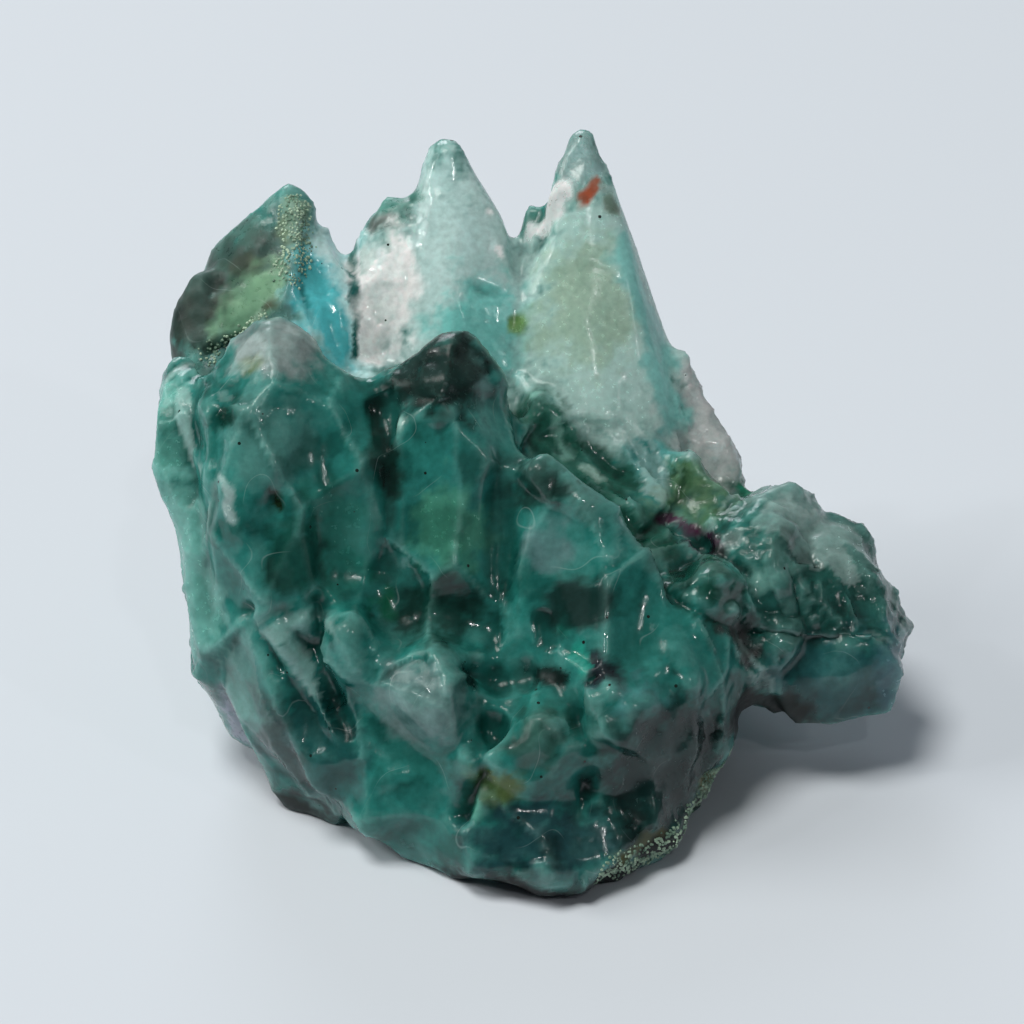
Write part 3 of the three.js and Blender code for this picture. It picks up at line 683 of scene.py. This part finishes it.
# Beryl: glassy, with the mid gloss of a natural face. Clouds of fine fluid drops make it milky, so
# light that enters comes out again nearby, and what goes through is taken up except for the green.
BERYL_IOR = 1.57
SCATTER_SHARE = 0.6
SCATTER_DEPTH = 2.6 * MM
THROUGH = "#50d8cc"
UPTAKE = 35.0  # per metre
object_space = add(shading, "ShaderNodeTexCoord").outputs["Object"]
mm_space = add(shading, "ShaderNodeVectorMath", {0: object_space, "Scale": 1 / MM},
               operation="SCALE").outputs[0]
grown_tint = add(shading, "ShaderNodeAttribute", attribute_name="tint").outputs["Color"]
grown_glass = add(shading, "ShaderNodeAttribute", attribute_name="glass").outputs["Vector"]
grown = add(shading, "ShaderNodeSeparateXYZ", {0: grown_glass}).outputs

# Healed cracks: thin white wavy sheets that show as fine lines where they meet the surface.
SHEETS_APART = 3.57  # millimetres
LINE_WIDTH = 0.006  # as a step in the noise, a few hundredths of a millimetre
LINE_WHITE = "#c8dedb"
sheets = add(shading, "ShaderNodeTexNoise",
             {"Vector": mm_space, "Scale": 1 / SHEETS_APART, "Detail": 0.5}).outputs[0]
from_sheet = add(shading, "ShaderNodeMath", {0: sheets, 1: 0.5}, operation="SUBTRACT").outputs[0]
from_sheet = add(shading, "ShaderNodeMath", {0: from_sheet}, operation="ABSOLUTE").outputs[0]
crack_line = add(shading, "ShaderNodeMapRange",
                 {0: from_sheet, 1: 0.0, 2: LINE_WIDTH, 3: 0.18, 4: 0.0}).outputs[0]
crack_share = add(shading, "ShaderNodeMath", {0: crack_line, 1: grown["Z"]}, operation="MULTIPLY").outputs[0]
lined = add(shading, "ShaderNodeMix", {0: crack_share, 6: grown_tint, 7: linear(LINE_WHITE)},
            data_type="RGBA").outputs[2]

# Mica and soot-like specks, a fifth of a millimetre across and under, here and there.
SPECKS_APART = 1.25
SPECK_RADIUS = 0.1
SPECKS_KEPT = 0.3
SPECK_BLACK = "#1c2622"
specks = add(shading, "ShaderNodeTexVoronoi", {"Vector": mm_space, "Scale": 1 / SPECKS_APART}).outputs
speck_near = add(shading, "ShaderNodeMath", {0: specks["Distance"], 1: SPECK_RADIUS / SPECKS_APART},
                 operation="LESS_THAN").outputs[0]
speck_some = add(shading, "ShaderNodeSeparateColor", {0: specks["Color"]}).outputs[0]
speck_kept = add(shading, "ShaderNodeMath", {0: speck_some, 1: SPECKS_KEPT},
                 operation="LESS_THAN").outputs[0]
speck_share = add(shading, "ShaderNodeMath", {0: speck_near, 1: speck_kept}, operation="MULTIPLY").outputs[0]
speckled = add(shading, "ShaderNodeMix", {0: speck_share, 6: lined, 7: linear(SPECK_BLACK)},
               data_type="RGBA").outputs[2]

# The mottle of the fluid drops, under half a millimetre, also pits the surface where it is chipped.
MOTTLE_SIZE = 0.385  # millimetres
PIT_DEPTH = 0.06 * MM
grain = add(shading, "ShaderNodeTexNoise",
            {"Vector": mm_space, "Scale": 1 / MOTTLE_SIZE, "Detail": 3.0}).outputs[0]
grain_level = add(shading, "ShaderNodeMapRange", {0: grain, 1: 0.3, 2: 0.7, 3: 0.86, 4: 1.1}).outputs[0]
colour = add(shading, "ShaderNodeVectorMath", {0: speckled, "Scale": grain_level},
             operation="SCALE").outputs[0]
rough_grain = add(shading, "ShaderNodeMapRange", {0: grain, 1: 0.35, 2: 0.65, 3: -0.04, 4: 0.08}).outputs[0]
roughness = add(shading, "ShaderNodeMath", {0: grown["Y"], 1: rough_grain}, operation="ADD").outputs[0]
chipped = add(shading, "ShaderNodeAttribute", attribute_name="chip").outputs["Fac"]
chip_share = add(shading, "ShaderNodeMapRange", {0: chipped, 1: 0.0, 2: 0.8, 3: 0.6, 4: 3.0}).outputs[0]
chip_height = add(shading, "ShaderNodeMath", {0: grain, 1: chip_share}, operation="MULTIPLY").outputs[0]
relief = add(shading, "ShaderNodeBump",
             {"Height": chip_height, "Strength": 0.25, "Distance": PIT_DEPTH}).outputs[0]

shader = add(shading, "ShaderNodeBsdfPrincipled", {
    "Base Color": colour, "Roughness": roughness, "IOR": BERYL_IOR, "Specular IOR Level": 0.4,
    "Transmission Weight": grown["X"], "Normal": relief,
    "Subsurface Weight": SCATTER_SHARE, "Subsurface Radius": (0.75, 1.0, 0.95),
    "Subsurface Scale": SCATTER_DEPTH,
})
soaked = add(shading, "ShaderNodeVolumeAbsorption", {"Color": linear(THROUGH), "Density": UPTAKE})
add(shading, "ShaderNodeOutputMaterial",
    {"Surface": shader.outputs["BSDF"], "Volume": soaked.outputs["Volume"]})

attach(body, "root")
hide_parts("crystal_cluster")

# ---------------------------------------------------------------------------------------------
# The veils sealed in the crystal. Cracks that healed while it grew left thin wavy sheets of tiny
# fluid drops, milky white, that hang inside the clearer parts and catch the light.
# ---------------------------------------------------------------------------------------------
VEILS = [
    # the middle of the sheet, half sizes across, deep and up, its lean to the front, its turn, in degrees
    ((-4.6, 14.2, 22.4), (1.7, 0.07, 3.0), 24, 12),
    ((-2.4, 14.8, 20.4), (1.4, 0.06, 2.4), 30, -20),
    ((-4.0, 15.2, 24.4), (1.2, 0.05, 1.8), 10, 40),
    ((4.0, 13.4, 22.6), (1.3, 0.06, 2.6), 20, 15),
    ((6.0, 12.2, 19.0), (1.6, 0.07, 2.8), 26, -25),
    ((4.6, 10.4, 16.8), (1.4, 0.06, 2.0), 35, 30),
    ((-10.4, 12.2, 21.6), (1.3, 0.05, 2.4), 25, 50),
    ((-12.6, 12.6, 21.4), (1.6, 0.06, 2.0), 15, -10),
    ((11.3, 8.6, 12.4), (0.8, 0.05, 1.4), 30, 20),
    ((15.6, 3.8, 11.2), (1.4, 0.06, 1.3), 40, 10),
    ((18.6, 2.4, 9.4), (1.4, 0.06, 1.2), 40, -20),
    ((-13.6, 1.6, 19.4), (1.6, 0.08, 1.8), 35, 10),
    ((-9.6, -0.6, 15.6), (1.2, 0.07, 2.0), 30, -15),
    ((-4.0, -0.2, 15.6), (1.5, 0.07, 2.2), 30, 8),
    ((2.4, -3.0, 12.4), (1.6, 0.08, 1.8), 40, -12),
    ((-4.4, -6.4, 7.0), (1.8, 0.08, 1.4), 45, 20),
]

# A healed crack: a lace of fluid drops half a millimetre apart, milky where they are close.
DROP_WHITE = "#eef8f6"
DROPS_APART = 0.5 * MM
milk, tree = material("healed crack in beryl")
veil_space = add(tree, "ShaderNodeTexCoord").outputs["Object"]
lace = add(tree, "ShaderNodeTexNoise",
           {"Vector": veil_space, "Scale": 1 / DROPS_APART, "Detail": 3.0}).outputs[0]
thin = add(tree, "ShaderNodeMapRange", {0: lace, 1: 0.4, 2: 0.6, 3: 0.15, 4: 0.9}).outputs[0]
shader = add(tree, "ShaderNodeBsdfPrincipled", {"Base Color": linear(DROP_WHITE), "Roughness": 0.35,
                                                "IOR": 1.33, "Transmission Weight": thin})
add(tree, "ShaderNodeOutputMaterial", {"Surface": shader.outputs["BSDF"]})

seeds = bpy.data.meshes.new("sealed_veils")
seeds.from_pydata([place(*middle) for middle, size, lean, turn in VEILS], [], [])
spans = np.array([size for middle, size, lean, turn in VEILS]) * MM
turns = np.radians([(-lean, 0, turn) for middle, size, lean, turn in VEILS])
seeds.attributes.new("span", "FLOAT_VECTOR", "POINT").data.foreach_set("vector", spans.ravel())
seeds.attributes.new("turn", "FLOAT_VECTOR", "POINT").data.foreach_set("vector", turns.ravel())
veils = stand("sealed_veils", seeds)

tree = bpy.data.node_groups.new("healed cracks", "GeometryNodeTree")
tree.interface.new_socket("Geometry", in_out="INPUT", socket_type="NodeSocketGeometry")
VEIL_LOOK = {"Swell Size": 1.6, "Swell Depth": 0.5, "Rag Size": 0.5, "Rag Depth": 0.3}
sockets = {}
for name in VEIL_LOOK:
    sockets[name] = tree.interface.new_socket(name, in_out="INPUT", socket_type="NodeSocketFloat").identifier
tree.interface.new_socket("Geometry", in_out="OUTPUT", socket_type="NodeSocketGeometry")
inputs = add(tree, "NodeGroupInput").outputs
sheet = add(tree, "GeometryNodeMeshIcoSphere", {"Radius": 1.0, "Subdivisions": 4}).outputs[0]
span = add(tree, "GeometryNodeInputNamedAttribute", {"Name": "span"}, data_type="FLOAT_VECTOR").outputs[0]
turn = add(tree, "GeometryNodeInputNamedAttribute", {"Name": "turn"}, data_type="FLOAT_VECTOR").outputs[0]
turned = add(tree, "FunctionNodeEulerToRotation", {0: turn}).outputs[0]
hung = add(tree, "GeometryNodeInstanceOnPoints", {"Points": inputs["Geometry"], "Instance": sheet,
                                                  "Rotation": turned, "Scale": span}).outputs[0]
flat = add(tree, "GeometryNodeRealizeInstances", {"Geometry": hung}).outputs[0]
position = add(tree, "GeometryNodeInputPosition").outputs[0]
in_mm = add(tree, "ShaderNodeVectorMath", {0: position, "Scale": 1 / MM}, operation="SCALE").outputs[0]
for size, depth in (("Swell Size", "Swell Depth"), ("Rag Size", "Rag Depth")):
    scale = add(tree, "ShaderNodeMath", {0: 1.0, 1: inputs[size]}, operation="DIVIDE").outputs[0]
    swell = add(tree, "ShaderNodeTexNoise",
                {"Vector": in_mm, "Scale": scale, "Detail": 0.0}).outputs["Color"]
    level = add(tree, "ShaderNodeVectorMath", {0: swell, 1: (0.5, 0.5, 0.5)},
                operation="SUBTRACT").outputs[0]
    metres = add(tree, "ShaderNodeMath", {0: inputs[depth], 1: MM}, operation="MULTIPLY").outputs[0]
    shift = add(tree, "ShaderNodeVectorMath", {0: level, "Scale": metres}, operation="SCALE").outputs[0]
    flat = add(tree, "GeometryNodeSetPosition", {"Geometry": flat, "Offset": shift}).outputs[0]
plain = add(tree, "GeometryNodeRealizeInstances", {"Geometry": flat}).outputs[0]
dressed = add(tree, "GeometryNodeSetMaterial", {"Geometry": plain, "Material": milk}).outputs[0]
add(tree, "NodeGroupOutput", {0: dressed})
healed = veils.modifiers.new("healed cracks", "NODES")
healed.node_group = tree
for name, value in VEIL_LOOK.items():
    healed[sockets[name]] = value
applied(veils)
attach(veils, "root")

# ---------------------------------------------------------------------------------------------
# The grains of rock still stuck to the cluster: olive and brown crumbs of the schist it grew in,
# along the crust of the left crystal and round the broken rim of the root.
# ---------------------------------------------------------------------------------------------
CRUMBS = [
    # where, the line they lie along, how far they spread to each side
    ("crust", [(-12.5, 14.6, 27), (-12.4, 13.4, 25.2), (-12.8, 12, 24)], 0.9),
    ("lower edge of the mossy face", [(-13.2, 11.2, 23.2), (-15, 9.4, 21.8), (-17.2, 8.8, 20.9)], 0.5),
    ("rim at the front right",
     [(5.6, -13.4, 1.4), (8.4, -12, 1.2), (10.6, -8, 1.4), (11.8, -4.6, 2.6)], 1.1),
    ("rim at the back", [(10, 8, 1), (3, 13, 1), (-5, 13.6, 1), (-13, 10, 1)], 1.4),
]
CRUMBS_FROM = 0.4  # millimetres above the table, so that no crumb reaches below it
CRUMB_BLEND = 0.3

# Schist: dull grains, olive where they are weathered and paler where mica shows.
SCHIST_OLIVE = "#6d8a78"
SCHIST_PALE = "#b4ccb4"
PATCH_SIZE = 0.7 * MM
schist, tree = material("olive mica schist")
crumb_space = add(tree, "ShaderNodeTexCoord").outputs["Object"]
crumb_patch = add(tree, "ShaderNodeTexNoise",
                  {"Vector": crumb_space, "Scale": 1 / PATCH_SIZE, "Detail": 2.0}).outputs[0]
crumb_share = add(tree, "ShaderNodeMapRange", {0: crumb_patch, 1: 0.4, 2: 0.62}).outputs[0]
crumb_colour = add(tree, "ShaderNodeMix", {0: crumb_share, 6: linear(SCHIST_OLIVE), 7: linear(SCHIST_PALE)},
                   data_type="RGBA").outputs[2]
shader = add(tree, "ShaderNodeBsdfPrincipled", {"Base Color": crumb_colour, "Roughness": 0.7})
add(tree, "ShaderNodeOutputMaterial", {"Surface": shader.outputs["BSDF"]})

points = points_of(body.data)
spread = np.full(len(points), np.inf)
for where, line, reach in CRUMBS:
    spread = np.minimum(spread, apart(points, line) / reach)
bed = body.data.copy()
bed.materials.clear()
off_table = points[:, 2] > CRUMBS_FROM
strewn_share = fade(spread, CRUMB_BLEND) * off_table
bed.attributes.new("spread", "FLOAT", "POINT").data.foreach_set("value", strewn_share)
crumbs = stand("schist_crumbs", bed)

tree = bpy.data.node_groups.new("crumbs", "GeometryNodeTree")
tree.interface.new_socket("Geometry", in_out="INPUT", socket_type="NodeSocketGeometry")
CRUMB_LOOK = {"Per Square Metre": 2.4e7, "Smallest": 0.05 * MM, "Largest": 0.12 * MM}
FULL_TURN = 6.28  # radians
sockets = {}
for name in CRUMB_LOOK:
    sockets[name] = tree.interface.new_socket(name, in_out="INPUT", socket_type="NodeSocketFloat").identifier
tree.interface.new_socket("Geometry", in_out="OUTPUT", socket_type="NodeSocketGeometry")
inputs = add(tree, "NodeGroupInput").outputs
share = add(tree, "GeometryNodeInputNamedAttribute", {"Name": "spread"}, data_type="FLOAT").outputs[0]
density = add(tree, "ShaderNodeMath", {0: share, 1: inputs["Per Square Metre"]},
              operation="MULTIPLY").outputs[0]
lying = add(tree, "GeometryNodeDistributePointsOnFaces",
            {"Mesh": inputs["Geometry"], "Density": density, "Seed": 3}).outputs["Points"]
crumb = add(tree, "GeometryNodeMeshIcoSphere", {"Radius": 1.0, "Subdivisions": 1}).outputs[0]
size = add(tree, "FunctionNodeRandomValue",
           {2: inputs["Smallest"], 3: inputs["Largest"], "Seed": 5}).outputs[1]
turn_most = (FULL_TURN, FULL_TURN, FULL_TURN)
tumble = add(tree, "FunctionNodeRandomValue", {0: (0, 0, 0), 1: turn_most, "Seed": 7},
             data_type="FLOAT_VECTOR").outputs[0]
tumbled = add(tree, "FunctionNodeEulerToRotation", {0: tumble}).outputs[0]
strewn = add(tree, "GeometryNodeInstanceOnPoints", {"Points": lying, "Instance": crumb,
                                                    "Rotation": tumbled, "Scale": size}).outputs[0]
plain = add(tree, "GeometryNodeRealizeInstances", {"Geometry": strewn}).outputs[0]
dressed = add(tree, "GeometryNodeSetMaterial", {"Geometry": plain, "Material": schist}).outputs[0]
add(tree, "NodeGroupOutput", {0: dressed})
strew = crumbs.modifiers.new("crumbs", "NODES")
strew.node_group = tree
for name, value in CRUMB_LOOK.items():
    strew[sockets[name]] = value
applied(crumbs)
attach(crumbs, "root")
